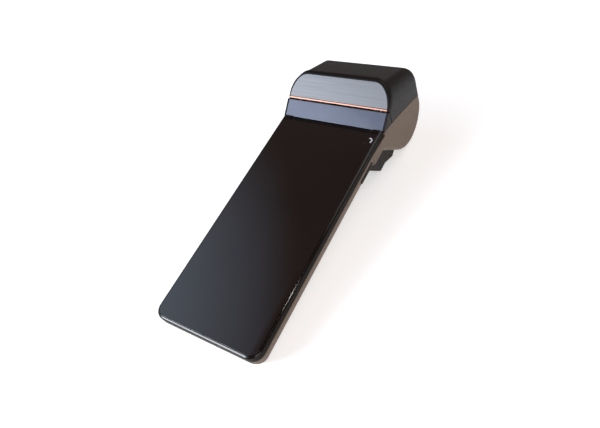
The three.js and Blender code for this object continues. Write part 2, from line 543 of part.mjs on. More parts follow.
function addLid() {
  const frontEdge = 182.6;
  const FOOT_STEP = 1.2;
  const crestCorner = [PLATE_TOP[0] + PLATE_RUN.x * 6, PLATE_TOP[1] + PLATE_RUN.y * 6];
  const side = (inset) => {
    const foot = intoPlate(PLATE_FOOT, inset);
    return alongX(outline([[frontEdge + inset, -40], [frontEdge + inset, foot[1] - (inset ? FOOT_STEP : 0)],
      foot, intoPlate(crestCorner, inset * 1.2),
      [CROWN_END[0] - inset, CROWN_END[1] - inset * 0.6, 9 - inset], [REAR_Y - inset, -40]]), -FAR, FAR);
  };
  const capBlock = alongX(outline([PLATE_FOOT, crestCorner, [crestCorner[0] + CAP_DEPTH, crestCorner[1]],
    [PLATE_FOOT[0] + CAP_DEPTH, PLATE_FOOT[1]]]), -HALF_HEAD, HALF_HEAD);
  const outer = join(common(side(0), archPrism(0), headPlan(0)),
    common(capBlock, archPrism(0, RIM, PLATE_TOP[1], CAP_CORNER)));
  const room = common(side(LID_WALL), archPrism(LID_WALL, 0), headPlan(LID_WALL));
  const mouth = block(-HALF_HEAD + LID_WALL, HALF_HEAD - LID_WALL, 150, 190, -60, 5.6);

  // The plate's seat: the plate outline pushed a little into the front face.
  const upPlate = ([y, z], distance) => [y + PLATE_RUN.x * distance, z + PLATE_RUN.y * distance];
  const plateLayer = (drawIn, top, bottom, from, to) => common(alongX(outline([
    intoPlate(upPlate(PLATE_FOOT, from), bottom), intoPlate(upPlate(PLATE_FOOT, to), bottom),
    intoPlate(upPlate(PLATE_FOOT, to), top), intoPlate(upPlate(PLATE_FOOT, from), top),
  ]), -HALF_HEAD, HALF_HEAD), archPrism(drawIn, 0, PLATE_TOP[1], CAP_CORNER));
  const seat = plateLayer(RIM, -3, 1.3, -3, 30);
  const knuckleRanges = [[-20, -10.15], [10.15, 20]];
  const knuckles = knuckleRanges.map(([x0, x1]) => join(
    rodX(x0, x1, HINGE_Y, HINGE_Z, KNUCKLE_RADIUS),
    block(x0, x1, HINGE_Y - 0.7, HINGE_Y + 1.3, HINGE_Z + 0.6, HINGE_Z + 4)));
  const casingKnuckles = [[-30.3, -20], [-10.15, 10.15], [20, 30.3]].map(([x0, x1]) =>
    rodX(x0, x1, HINGE_Y, HINGE_Z, KNUCKLE_RADIUS + GAP));
  const shell = cut(common(outer, partingHalf(true, PARTING_GAP)), room, mouth, seat, ...casingKnuckles);
  piece(lid, 'lid_shell', cut(join(shell, ...knuckles), rodX(-32, 32, HINGE_Y, HINGE_Z, 0.95)), BLACK_SATIN);
  piece(lid, 'hinge_pin', rodX(-29.8, 29.8, HINGE_Y, HINGE_Z, 0.85, 16), STEEL);
  piece(lid, 'lid_front_plate', plateLayer(RIM + GAP, 0, 1, TRIM_HEIGHT + 0.5, 30), BRUSHED);
  piece(lid, 'copper_trim', plateLayer(RIM + GAP, -0.1, 1, 0.2, 0.2 + TRIM_HEIGHT), COPPER);

  // Carrier inside the lid: two arms with the platen shaft's bores and a cross bar.
  const armProfile = outline([[PLATEN_Y - 2.6, PLATEN_Z - 2.6, 2], [PLATEN_Y + 2.6, PLATEN_Z - 2.6, 2],
    [202, 4, 1], [201, 8.5, 1], [194, 11, 1], [PLATEN_Y - 2.6, PLATEN_Z + 3, 1]]);
  const arms = [[-31.4, -29.8], [29.8, 31.4]].map(([x0, x1]) => alongX(armProfile, x0, x1));
  const bar = block(-31, 31, 195, 200.5, 6.5, 8.5);
  piece(lid, 'platen_carrier',
    cut(join(...arms, bar), rodX(-35, 35, PLATEN_Y, PLATEN_Z, 1.62)), DARK_PLASTIC);
  piece(lid, 'platen_shaft', rodX(-33.8, 37, PLATEN_Y, PLATEN_Z, 1.55, 20), STEEL);
  piece(lid, 'platen_roller', cut(rodX(-29, 29, PLATEN_Y, PLATEN_Z, PLATEN_RADIUS, 32),
    rodX(-30, 30, PLATEN_Y, PLATEN_Z, 1.8, 20)), RUBBER);
  [[-33.6, -32], [32, 33.6]].forEach(([x0, x1], i) => {
    piece(lid, `platen_bush_${i + 1}`, cut(rodX(x0, x1, PLATEN_Y, PLATEN_Z, 2.2),
      rodX(x0 - 1, x1 + 1, PLATEN_Y, PLATEN_Z, 1.62)), BRASS);
  });
}

addScreen();
addChassis();
addElectronics();
addControls();
addCasing();
addPads();
addCameraBlock();
addHeadFront();
addPrinter();
addLid();

// ---- resting pose ----
terminal.rotation.x = REST_TILT;
terminal.updateMatrixWorld(true);
const bounds = new THREE.Box3().setFromObject(terminal, true);
const centre = bounds.getCenter(new THREE.Vector3());
terminal.position.set(-centre.x, -centre.y, -bounds.min.z);

export default terminal;
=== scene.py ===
import math

import bmesh
import bpy
from mathutils import Matrix, Quaternion, Vector


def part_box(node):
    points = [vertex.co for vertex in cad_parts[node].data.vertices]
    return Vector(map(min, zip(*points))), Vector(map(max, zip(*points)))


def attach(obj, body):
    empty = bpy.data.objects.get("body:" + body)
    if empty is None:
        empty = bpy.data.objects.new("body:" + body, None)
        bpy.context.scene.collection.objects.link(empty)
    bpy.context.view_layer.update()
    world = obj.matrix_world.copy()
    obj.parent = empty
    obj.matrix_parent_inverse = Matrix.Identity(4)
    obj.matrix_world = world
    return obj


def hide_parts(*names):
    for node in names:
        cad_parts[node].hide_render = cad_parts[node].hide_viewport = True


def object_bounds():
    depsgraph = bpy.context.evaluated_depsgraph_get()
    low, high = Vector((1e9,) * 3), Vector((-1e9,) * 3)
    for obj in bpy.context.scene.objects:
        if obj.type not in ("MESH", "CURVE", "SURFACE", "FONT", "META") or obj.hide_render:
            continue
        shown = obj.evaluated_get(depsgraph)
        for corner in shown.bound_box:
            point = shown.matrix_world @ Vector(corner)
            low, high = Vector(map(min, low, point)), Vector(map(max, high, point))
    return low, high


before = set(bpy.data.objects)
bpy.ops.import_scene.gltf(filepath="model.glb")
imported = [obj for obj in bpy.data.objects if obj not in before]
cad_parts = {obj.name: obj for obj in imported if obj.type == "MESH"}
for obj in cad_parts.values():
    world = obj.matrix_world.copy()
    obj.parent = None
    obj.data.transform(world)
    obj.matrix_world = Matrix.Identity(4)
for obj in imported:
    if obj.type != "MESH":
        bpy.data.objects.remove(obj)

cad_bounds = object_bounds()

# Handheld card payment terminal with a receipt printer.
# Shapes are drawn in the terminal's own frame, in millimetres: x across, y from the front edge of the
# glass towards the printer head, z out of the screen. TO_ROW tilts and places them in the row frame.

# ---- driving dimensions, as in the CAD ----
GAP = 0.3
HALF_BODY = 40.0
HALF_GLASS = 38.5
GLASS_LENGTH = 166.4
GLASS_THICK = 0.9
BEZEL_HEIGHT = 5.0
BEZEL_CORNER = 8.0
SLAB_DEPTH = 15.5
CASING_WALL = 1.8
HALF_HEAD = 41.0
HEAD_FRONT = 170.4
ROLL = (204.6, -21.8)             # paper roll centre line
HOUSING_RADIUS = 24.8
HOUSING_EDGE = 4.5                # rounding of its side edges
HOUSING_SLOPE = math.radians(47.5)   # of the ramp under the head
PARTING_GAP = 0.2                 # each side of the line between head and casing
FLARE_START = 152                 # from here the casing's sides widen to the head's
HINGE = (228.0, -21.6)
KNUCKLE_RADIUS = 2.0
TILT = math.radians(9.1)

FLOOR_Z = -SLAB_DEPTH + CASING_WALL
REAR_Y = ROLL[0] + HOUSING_RADIUS
CASING_TOP = -BEZEL_HEIGHT - GAP
PANEL_FOOT = Vector((HEAD_FRONT, -1.4))
PANEL_TOP = Vector((181.1, 5.55))
PLATE_FOOT = Vector((181.75, 6.05))
PLATE_TOP = Vector((197.6, 19.3))
RIM = 1.2
HALF_PLATE = HALF_HEAD - RIM
RIM_DEPTH = 4.4
TRIM_HEIGHT = 0.9
LID_WALL = 2.0
CAP_DEPTH = 4.4
CAP_CORNER = 14.2
COVER_CORNER = 10.5
PLAN_CORNER = 6.0
CREST = 17.5
CROWN_END = Vector((REAR_Y, 2.6))
KEY_Z = -9.6
VOLUME_KEY = (131.8, 149.5)
POWER_KEY = (135, 146)
RAMP_START = 150                  # the printer housing begins here under the slab
SLAB_END = 172                    # and the slab's own shell ends here
FAR = 120.0
ARC_STEP = 4.0                    # degrees between the points of an arc
TURN_STEPS = 72                   # points round a turned piece
CURVE_STEPS = 40                  # spans of a curve
BEVEL_ANGLE = 40                  # degrees; sharper edges get a small bevel
SMOOTH_ANGLE = 32                 # degrees; flatter edges are shaded smooth
WELD_DISTANCE = 0.000002          # metres

MM = 0.001
GLASS_PLAY = 0.1                  # the glass is this much smaller than its opening in the plan
glass_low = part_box("touch_glass")[0]
ORIGIN = Vector((
    0.0,
    glass_low.y - MM * GLASS_PLAY * math.cos(TILT),
    glass_low.z - MM * (GLASS_PLAY * math.sin(TILT) - GLASS_THICK * math.cos(TILT))))
TO_ROW = Matrix.Translation(ORIGIN) @ Matrix.Rotation(TILT, 4, "X") @ Matrix.Scale(MM, 4)


# ---- outlines ----

def outline(corners, step=ARC_STEP):
    """Closed outline through corners (a, b, radius); a corner with a radius becomes an arc."""
    points = []
    count = len(corners)
    for i, corner in enumerate(corners):
        place = Vector(corner[:2])
        radius = corner[2] if len(corner) > 2 else 0
        if not radius:
            points.append(place)
            continue
        back = (Vector(corners[i - 1][:2]) - place).normalized()
        ahead = (Vector(corners[(i + 1) % count][:2]) - place).normalized()
        half = math.acos(max(-1.0, min(1.0, back.dot(ahead)))) / 2
        centre = place + (back + ahead).normalized() * (radius / math.sin(half))
        first = place + back * (radius / math.tan(half)) - centre
        last = place + ahead * (radius / math.tan(half)) - centre
        turn = math.atan2(first.x * last.y - first.y * last.x, first.dot(last))
        steps = max(2, math.ceil(abs(math.degrees(turn)) / step))
        for k in range(steps + 1):
            points.append(centre + Matrix.Rotation(turn * k / steps, 2) @ first)
    return points


def rectangle(a0, b0, a1, b1, radius=0.0):
    return outline([(a0, b0, radius), (a1, b0, radius), (a1, b1, radius), (a0, b1, radius)])


def circle(a, b, radius, steps=64):
    angles = [2 * math.pi * (i + 0.5) / steps for i in range(steps)]
    return [Vector((a + radius * math.cos(t), b + radius * math.sin(t))) for t in angles]


def area(points):
    return sum(p.x * q.y - q.x * p.y for p, q in zip(points, points[1:] + points[:1])) / 2


def drawn_in(points, inset):
    """The outline moved inwards by inset, with mitred corners. It has to run anticlockwise."""
    if not inset:
        return points
    moved = []
    count = len(points)
    for i, point in enumerate(points):
        before = (point - points[i - 1]).normalized()
        after = (points[(i + 1) % count] - point).normalized()
        inward = Vector((-before.y, before.x)) + Vector((-after.y, after.x))
        moved.append(point + inward * (2 * inset / inward.length_squared))
    return moved


# ---- solids ----

def finished(bm):
    bmesh.ops.recalc_face_normals(bm, faces=bm.faces)
    mesh = bpy.data.meshes.new("shape")
    bm.to_mesh(mesh)
    bm.free()
    return mesh


def prism(points, depth, place, edge=0.0, rise=None, rings=6, shape=None):
    """Prism of an outline; place turns (a, b, t) into a point. Both end edges are rounded, or follow
    shape, a list of (inset, distance from the end)."""
    if area(points) < 0:
        points = points[::-1]
    rise = edge if rise is None else rise
    levels = [(0.0, 0.0)]
    if edge:
        quarter = [math.pi / 2 * k / rings for k in range(rings + 1)]
        levels = [(edge * (1 - math.sin(t)), rise * (1 - math.cos(t))) for t in quarter]
    levels = shape or levels
    levels = levels + [(inset, depth - t) for inset, t in reversed(levels)]
    bm = bmesh.new()
    loops = [[bm.verts.new(place(p.x, p.y, t)) for p in drawn_in(points, inset)] for inset, t in levels]
    for low, high in zip(loops, loops[1:]):
        for i in range(len(low)):
            bm.faces.new((low[i - 1], low[i], high[i], high[i - 1]))
    bm.faces.new(loops[0])
    bm.faces.new(loops[-1])
    return finished(bm)


def along_z(points, z0, z1, edge=0.0):
    return prism(points, z1 - z0, lambda a, b, t: (a, b, z0 + t), edge)


def along_x(points, x0, x1, edge=0.0):
    return prism(points, x1 - x0, lambda a, b, t: (x0 + t, a, b), edge)


def block(x0, x1, y0, y1, z0, z1):
    return along_z(rectangle(x0, y0, x1, y1), z0, z1)


def rod_x(x0, x1, y, z, radius, steps=64):
    return along_x(circle(y, z, radius, steps), x0, x1)


def rod_z(x, y, z0, z1, radius):
    return along_z(circle(x, y, radius), z0, z1)


def turned(x, y, profile):
    """Closed surface turned about the z axis through (x, y); profile is (radius, z) from axis to axis."""
    bm = bmesh.new()
    loops = []
    for radius, z in profile[1:-1]:
        loops.append([bm.verts.new((p.x, p.y, z)) for p in circle(x, y, radius, TURN_STEPS)])
    low = bm.verts.new((x, y, profile[0][1]))
    high = bm.verts.new((x, y, profile[-1][1]))
    for i in range(TURN_STEPS):
        bm.faces.new((low, loops[0][i - 1], loops[0][i]))
        bm.faces.new((high, loops[-1][i], loops[-1][i - 1]))
        for one, other in zip(loops, loops[1:]):
            bm.faces.new((one[i - 1], one[i], other[i], other[i - 1]))
    return finished(bm)


def combined(operation, first, tools):
    objects = []
    for mesh in (first, *tools):
        item = bpy.data.objects.new("shape", mesh)
        bpy.context.scene.collection.objects.link(item)
        objects.append(item)
    for tool in objects[1:]:
        step = objects[0].modifiers.new("step", "BOOLEAN")
        step.operation = operation
        step.solver = "MANIFOLD"
        step.object = tool
    graph = bpy.context.evaluated_depsgraph_get()
    result = bpy.data.meshes.new_from_object(objects[0].evaluated_get(graph))
    for item in objects:
        bpy.data.objects.remove(item)
    return result


def join(first, *rest):
    return combined("UNION", first, rest)


def cut(first, *tools):
    return combined("DIFFERENCE", first, tools)


def common(first, *rest):
    return combined("INTERSECT", first, rest)


def moved(mesh, matrix):
    mesh.transform(matrix)
    return mesh


# ---- shared profiles ----

def slab_outline(inset, rear_y):
    side = HALF_BODY - inset
    radius = BEZEL_CORNER - inset * 0.8
    front = inset - 1.5
    return outline([(-side, front, radius), (side, front, radius), (side, rear_y), (-side, rear_y)])


def keel_block(inset, rear_y, z_top, z_bottom, roll):
    """Block with the slab's outline whose lower edges are rounded over a quarter ellipse."""
    height = z_top - z_bottom
    body = prism(slab_outline(inset, rear_y + roll), 3 * height, lambda a, b, t: (a, b, z_bottom + t),
                 roll, height - 0.5, rings=12)
    return common(body, block(-FAR, FAR, -FAR, rear_y, z_bottom - 1, z_top))


def parting_half(above, lift):
    """Everything above or below the side curve where the dark upper head meets the casing."""
    ends = [Vector((HEAD_FRONT, -2.4)), Vector((184, -4.2)), Vector((REAR_Y, HINGE[1]))]
    curve = []
    for k in range(CURVE_STEPS + 1):
        t = k / CURVE_STEPS
        curve.append(ends[0] * (1 - t) ** 2 + ends[1] * 2 * t * (1 - t) + ends[2] * t * t
                     + Vector((0, lift)))
    side = FAR if above else -FAR
    return along_x([Vector((-FAR, curve[0].y)), *curve, Vector((300, curve[-1].y)),
                    Vector((300, side)), Vector((-FAR, side))], -FAR, FAR)


def arch_prism(inset, rim=RIM, crest=CREST, corner=COVER_CORNER):
    """Arch across the head, leaning with the front plate and falling with the crown."""
    lean = (PLATE_TOP.x - PLATE_FOOT.x) / (PLATE_TOP.y - PLATE_FOOT.y)
    fall = (crest - CROWN_END.y) / (CROWN_END.x - PLATE_TOP.x)
    side = HALF_HEAD - inset
    top = crest - inset
    arch = outline([(-side, -60), (side, -60), (side, top, corner - inset),
                    (-side, top, corner - inset)], 3)
    front = 0 if rim else -10
    shear = Matrix(((1, 0, 0, 0), (0, 1, lean, PLATE_TOP.x - PLATE_TOP.y * lean),
                    (0, -fall, 1, 0), (0, 0, 0, 1)))
    return moved(prism(arch, 96, lambda a, b, t: (a, front + t, b), rim, RIM_DEPTH, rings=8), shear)


def head_plan(inset, y_front=RAMP_START):
    side = HALF_HEAD - inset
    return along_z(outline([(-side, y_front), (side, y_front), (side, REAR_Y - inset, PLAN_CORNER - inset),
                            (-side, REAR_Y - inset, PLAN_CORNER - inset)]), -60, 60)


PLATE_RUN = (PLATE_TOP - PLATE_FOOT).normalized()
PANEL_RUN = (PANEL_TOP - PANEL_FOOT).normalized()


def into(run, point, depth):
    """A point moved by depth along the inward normal of a face that runs along run."""
    return Vector((point[0] + run.y * depth, point[1] - run.x * depth))


def housing_profile(inset):
    """Side profile of the printer housing: ramp, round paper housing, open top."""
    radius = HOUSING_RADIUS - inset
    tangent = Vector((ROLL[0] - radius * math.sin(HOUSING_SLOPE),
                      ROLL[1] - radius * math.cos(HOUSING_SLOPE)))
    rise = -SLAB_DEPTH + inset - tangent.y
    points = [Vector((tangent.x - rise / math.tan(HOUSING_SLOPE), -SLAB_DEPTH + inset))]
    for k in range(45):
        turn = math.radians(222.5 + 137.5 * k / 44)
        points.append(Vector((ROLL[0] + radius * math.cos(turn), ROLL[1] + radius * math.sin(turn))))
    return points + [Vector((REAR_Y - inset, 20)), Vector((RAMP_START, 20)),
                     Vector((RAMP_START, -SLAB_DEPTH + inset))]


# ---- materials ----

def finish(name, colour, roughness, metallic=0.0, coat=0.0, coat_roughness=0.05, speck=900.0, mottle=0.08,
           polish=0.05, relief=0.00002, stretch=(1, 1, 1), specular=0.5):
    """Principled material: colour mottled by a slow noise, roughness by a middle one, relief by a fine one.

    colour is sRGB 0-255; speck is the fine noise's scale per metre; relief is the bump height in metres."""
    linear = [((c / 255 + 0.055) / 1.055) ** 2.4 if c > 10 else c / 255 / 12.92 for c in colour]
    material = bpy.data.materials.new(name)
    material.use_nodes = True
    nodes, links = material.node_tree.nodes, material.node_tree.links
    shader = nodes["Principled BSDF"]
    shader.inputs["Metallic"].default_value = metallic
    shader.inputs["Coat Weight"].default_value = coat
    shader.inputs["Coat Roughness"].default_value = coat_roughness
    shader.inputs["Specular IOR Level"].default_value = specular
    places = nodes.new("ShaderNodeTexCoord")
    mapping = nodes.new("ShaderNodeMapping")
    mapping.inputs["Scale"].default_value = stretch
    links.new(places.outputs["Object"], mapping.inputs["Vector"])

    def noise(scale, detail):
        node = nodes.new("ShaderNodeTexNoise")
        node.inputs["Scale"].default_value = scale
        node.inputs["Detail"].default_value = detail
        links.new(mapping.outputs["Vector"], node.inputs["Vector"])
        return node

    slow, middle, fine = noise(speck / 12, 3), noise(speck / 4, 4), noise(speck, 2)
    ramp = nodes.new("ShaderNodeValToRGB")
    ramp.color_ramp.elements[0].position = 0.3
    ramp.color_ramp.elements[1].position = 0.7
    darker = [c * (1 - mottle) for c in linear]
    lighter = [min(1.0, c * (1 + mottle)) for c in linear]
    ramp.color_ramp.elements[0].color = (*darker, 1)
    ramp.color_ramp.elements[1].color = (*lighter, 1)
    links.new(slow.outputs["Fac"], ramp.inputs["Fac"])
    links.new(ramp.outputs["Color"], shader.inputs["Base Color"])
    gloss = nodes.new("ShaderNodeMapRange")
    gloss.inputs["From Min"].default_value = 0.3
    gloss.inputs["From Max"].default_value = 0.7
    gloss.inputs["To Min"].default_value = max(0.01, roughness - polish)
    gloss.inputs["To Max"].default_value = roughness + polish
    links.new(middle.outputs["Fac"], gloss.inputs["Value"])
    links.new(gloss.outputs["Result"], shader.inputs["Roughness"])
    bump = nodes.new("ShaderNodeBump")
    bump.inputs["Strength"].default_value = 0.5
    bump.inputs["Distance"].default_value = relief
    links.new(fine.outputs["Fac"], bump.inputs["Height"])
    links.new(bump.outputs["Normal"], shader.inputs["Normal"])
    return material


FINISH = {
    "taupe": finish("taupe_plastic", (109, 94, 80), 0.55, speck=2600, mottle=0.05, relief=0.00006,
                    specular=0.3),
    # Painted shade: a copy of the bezel plastic with almost no reflection, for the bezel's side faces.
    "bezel_side_painted_shade": finish("bezel_side_painted_shade", (20, 16, 13), 0.45, speck=2600, mottle=0.1, relief=0.00001,
                         specular=0.05),
    "bezel": finish("bezel_gloss", (17, 14, 12), 0.12, speck=500, mottle=0.2, relief=0.000004,
                    specular=0.35),
    "screen_glass": finish("screen_glass", (19, 13, 12), 0.1, coat=0.35, coat_roughness=0.03, speck=160,
                           mottle=0.3, polish=0.03, relief=0.0000015),
    "black_plastic": finish("black_plastic", (18, 15, 13), 0.46, speck=2600, mottle=0.12, relief=0.00003,
                            specular=0.21),
    "dark_plastic": finish("dark_plastic", (24, 16, 10), 0.6, speck=2600, mottle=0.12, relief=0.00006,
                           specular=0.25),
    "grey_gloss": finish("grey_gloss", (90, 96, 114), 0.22, metallic=0.2, coat=0.3, speck=700, mottle=0.06,
                         relief=0.000004),
    "brushed_plate": finish("brushed_plate", (108, 110, 114), 0.42, metallic=0.5, speck=9000, mottle=0.08,
                            polish=0.06, relief=0.000012, stretch=(0.012, 1, 1)),
    "copper": finish("copper_trim", (198, 140, 120), 0.35, metallic=0.6, speck=1800, mottle=0.06,
                     relief=0.00001, stretch=(0.05, 1, 1)),
    "steel": finish("steel", (176, 178, 182), 0.3, metallic=1, speck=1500, relief=0.00001),
    "alloy": finish("cast_alloy", (150, 152, 156), 0.45, metallic=0.9, speck=1800, relief=0.00003),
    "brass": finish("brass", (190, 150, 84), 0.32, metallic=1, speck=1500, relief=0.00001),
    "rubber": finish("rubber", (30, 30, 31), 0.85, speck=2200, mottle=0.15, relief=0.00008),
    "board": finish("circuit_board", (22, 66, 44), 0.45, speck=1400, mottle=0.35, relief=0.00004),
    "nylon": finish("nylon", (216, 212, 200), 0.5, speck=1200, mottle=0.04, relief=0.00002),
    "ceramic": finish("ceramic", (224, 220, 210), 0.25, speck=1200, mottle=0.04, relief=0.000005),
    "battery_wrap": finish("battery_wrap", (58, 61, 68), 0.42, speck=900, mottle=0.12, relief=0.00002),
    # Painted highlight: a pale crescent standing for the glint of light on the front lens.
    "lens_painted_highlight": finish("painted_lens_highlight", (196, 198, 202), 0.3, speck=900, mottle=0.05, relief=0.000002),
    "lens": finish("lens_glass", (10, 12, 18), 0.05, coat=1, speck=300, mottle=0.3, relief=0.000001),
}


def smoothing():
    """Node group that shades smooth, apart from edges sharper than SMOOTH_ANGLE."""
    group = bpy.data.node_groups.new("smooth_by_angle", "GeometryNodeTree")
    group.interface.new_socket("Geometry", in_out="INPUT", socket_type="NodeSocketGeometry")
    group.interface.new_socket("Geometry", in_out="OUTPUT", socket_type="NodeSocketGeometry")
    source, sink = group.nodes.new("NodeGroupInput"), group.nodes.new("NodeGroupOutput")
    faces = group.nodes.new("GeometryNodeSetShadeSmooth")
    edges = group.nodes.new("GeometryNodeSetShadeSmooth")
    edges.domain = "EDGE"
    edges.inputs["Shade Smooth"].default_value = False
    angle = group.nodes.new("GeometryNodeInputMeshEdgeAngle")
    sharp = group.nodes.new("ShaderNodeMath")
    sharp.operation = "GREATER_THAN"
    sharp.inputs[1].default_value = math.radians(SMOOTH_ANGLE)
    group.links.new(source.outputs[0], faces.inputs["Geometry"])
    group.links.new(faces.outputs["Geometry"], edges.inputs["Geometry"])
    group.links.new(angle.outputs["Unsigned Angle"], sharp.inputs[0])
    group.links.new(sharp.outputs[0], edges.inputs["Selection"])
    group.links.new(edges.outputs["Geometry"], sink.inputs[0])
    return group


SMOOTH = smoothing()


def dress(item, finish_name, bevel, weld=False):
    item.data.materials.clear()
    item.data.materials.append(FINISH[finish_name])
    if weld:
        item.modifiers.new("weld", "WELD").merge_threshold = WELD_DISTANCE
    if bevel:
        edge = item.modifiers.new("edges", "BEVEL")
        edge.width = bevel * MM
        edge.segments = 2
        edge.limit_method = "ANGLE"
        edge.angle_limit = math.radians(BEVEL_ANGLE)
        edge.use_clamp_overlap = False
        edge.harden_normals = False
    item.modifiers.new("shading", "NODES").node_group = SMOOTH
    if bevel:
        even = item.modifiers.new("even", "WEIGHTED_NORMAL")
        even.keep_sharp = True


def piece(name, mesh, slot, bevel=0.15, body="body", replaced=None):
    mesh.transform(TO_ROW)
    item = bpy.data.objects.new(name, mesh)
    bpy.context.scene.collection.objects.link(item)
    dress(item, slot, bevel)
    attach(item, body)
    for node in [replaced or name] if replaced is not False else []:
        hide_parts(node)
    return item


# ---- screen side ----
# The bezel's top edge: a slightly crowned chamfer between two small roundings.
BEZEL_EDGE = [(1.45, 0), (1.4, 0.01), (1.3, 0.045), (1.0, 0.195), (0.7, 0.35), (0.4, 0.52), (0.18, 0.67),
              (0.06, 0.82), (0.01, 0.98), (0, 1.15)]


def arc_band(x, y, z0, z1, inner, outer, start, end):
    """Flat band along an arc in the plane of the glass; angles in degrees."""
    turns = [math.radians(start + (end - start) * k / CURVE_STEPS) for k in range(CURVE_STEPS + 1)]
    ring = [Vector((x + outer * math.cos(t), y + outer * math.sin(t))) for t in turns]
    ring += [Vector((x + inner * math.cos(t), y + inner * math.sin(t))) for t in reversed(turns)]
    return along_z(ring, z0, z1)


def add_screen():
    depth = 23.2
    rounded = prism(slab_outline(0, HEAD_FRONT + 10), depth, lambda a, b, t: (a, b, t - depth),
                    shape=BEZEL_EDGE)

    def plan(grow):
        return outline([(-HALF_GLASS - grow, -grow, 6.5), (HALF_GLASS + grow, -grow, 6.5),
                        (HALF_GLASS + grow, GLASS_LENGTH + grow, 1.5),
                        (-HALF_GLASS - grow, GLASS_LENGTH + grow, 1.5)])
    ring = common(rounded, block(-FAR, FAR, -FAR, HEAD_FRONT - GAP, -BEZEL_HEIGHT, 5))
    bezel = cut(ring, along_z(plan(0.15), -1.2, 5), along_z(rectangle(-36.5, 2, 36.5, 164, 4), -9, 0),
                block(-33.3, 33.3, 166.9, HEAD_FRONT, -2.8, 5))
    frame_ring = piece("front_bezel", bezel, "bezel", 0.12)
    # The side faces take a copy of the bezel plastic with almost no reflection: painted shade on the same
    # plastic as the gloss top.
    frame_ring.data.materials.append(FINISH["bezel_side_painted_shade"])
    out = TO_ROW.to_3x3().normalized() @ Vector((0, 0, 1))
    for face in frame_ring.data.polygons:
        face.material_index = int(abs(face.normal.dot(out)) < 0.3)
    glass = common(along_z(plan(-GLASS_PLAY), -3, 0, 0.22),
                   block(-FAR, FAR, -FAR, FAR * 2, -GLASS_THICK, 5))
    piece("touch_glass", glass, "screen_glass", 0)
    lens = turned(33, 157, [(0, 0.01), (1.3, 0.01), (1.55, 0.02), (1.6, 0.03), (1.4, 0.05), (0, 0.05)])
    piece("front_lens_window", lens, "lens", 0, replaced=False)
    # The pale crescent beside the front lens is a painted highlight, the glint of light on the lens.
    piece("front_lens_painted_highlight", arc_band(34.6, 160, 0.01, 0.04, 1.5, 2.5, -50, 100), "lens_painted_highlight", 0, replaced=False)
    slits = [block(-30, 30, 168.55 + k * 0.55 - 0.12, 168.55 + k * 0.55 + 0.12, -1.6, 0)
             for k in (-2, -1, 0, 1, 2)]
    strip = cut(block(-33, 33, 167.2, HEAD_FRONT - GAP, -2.5, -0.9), *slits)
    piece("speaker_slot", strip, "black_plastic", 0.05)


# ---- lower casing ----
BOSSES = [(-32.5, 98), (32.5, 98), (-32.5, 124), (32.5, 124)]


def add_casing():
    flare = along_z([Vector((-HALF_BODY, FLARE_START)), Vector((HALF_BODY, FLARE_START)),
                     Vector((HALF_HEAD, HEAD_FRONT)), Vector((-HALF_HEAD, HEAD_FRONT))], -60, CASING_TOP)
    outer = join(
        common(along_x(housing_profile(0), -HALF_HEAD, HALF_HEAD, HOUSING_EDGE), flare),
        keel_block(0, SLAB_END, CASING_TOP, -SLAB_DEPTH, 5),
        common(along_x(housing_profile(0), -HALF_HEAD, HALF_HEAD, HOUSING_EDGE), head_plan(0, HEAD_FRONT),
               parting_half(False, -PARTING_GAP)),
        common(along_x(housing_profile(0), -HALF_BODY, HALF_BODY, HOUSING_EDGE),
               block(-FAR, FAR, RAMP_START, SLAB_END, -60, CASING_TOP)))
    slab_room = keel_block(2, SLAB_END - 2, CASING_TOP + 1, FLOOR_Z, 4.2)
    head_room = common(along_x(housing_profile(CASING_WALL), -37.9, 37.9, 2.5), head_plan(CASING_WALL))
    groove = rod_x(-31, 31, *HINGE, KNUCKLE_RADIUS + GAP)
    relief = rod_x(-39, 39, *HINGE, 1.8)
    shell = cut(outer, slab_room, head_room, groove, relief)
    knuckles = []
    for x0, x1 in [(-30, -20.3), (-9.85, 9.85), (20.3, 30)]:
        knuckles.append(join(rod_x(x0, x1, *HINGE, KNUCKLE_RADIUS),
                             block(x0, x1, HINGE[0] - 1.9, HINGE[0] + 0.6, HINGE[1] - 4.5, HINGE[1] - 0.6)))
    holes = [
        rod_x(-32, 32, *HINGE, 0.95),
        along_z(rectangle(-31, 14, 31, 92, 3), -20, -12),
        along_x(rectangle(VOLUME_KEY[0] - GAP, KEY_Z - 1.8, VOLUME_KEY[1] + GAP, KEY_Z + 1.8, 1.5), 30, 45),
        along_x(rectangle(POWER_KEY[0] - GAP, KEY_Z - 1.8, POWER_KEY[1] + GAP, KEY_Z + 1.8, 1.5), -45, -30),
        along_x(rectangle(53.2, -11.5, 62.8, -7.7, 1.8), -45, -30)]
    for x, y in BOSSES:
        holes += [rod_z(x, y, -20, -12, 1.2), rod_z(x, y, -20, -14.1, 2.5)]
    for offset in (-4.5, -1.5, 1.5, 4.5):
        holes.append(along_z(rectangle(20.4 + offset, 103, 21.6 + offset, 113, 0.55), -20, -12))
    piece("rear_casing", cut(join(shell, *knuckles), *holes), "taupe", 0.18)

    cover = cut(along_z(rectangle(-31 + GAP, 14 + GAP, 31 - GAP, 92 - GAP, 2.8), -SLAB_DEPTH, -13.9),
                along_x(circle(13, -SLAB_DEPTH - 1, 4), -8, 8))
    piece("battery_cover", cover, "taupe", 0.2)


def add_side_key(name, side, y_from, y_to):
    bar = along_x(rectangle(y_from, KEY_Z - 1.5, y_to, KEY_Z + 1.5, 1.3), 34.9, 40.1, 0.35)
    key = join(bar, block(34.6, 35.8, y_from - 1.6, y_to + 1.6, KEY_Z - 2.1, KEY_Z + 2.1))
    if side < 0:
        key.transform(Matrix.Translation((0, y_from + y_to, 0)) @ Matrix.Rotation(math.pi, 4, "Z"))
    piece(name, key, "dark_plastic", 0, body=name)


# ---- camera block ----
CAMERA_Y = 167.3
POD_FLOOR = -37.0


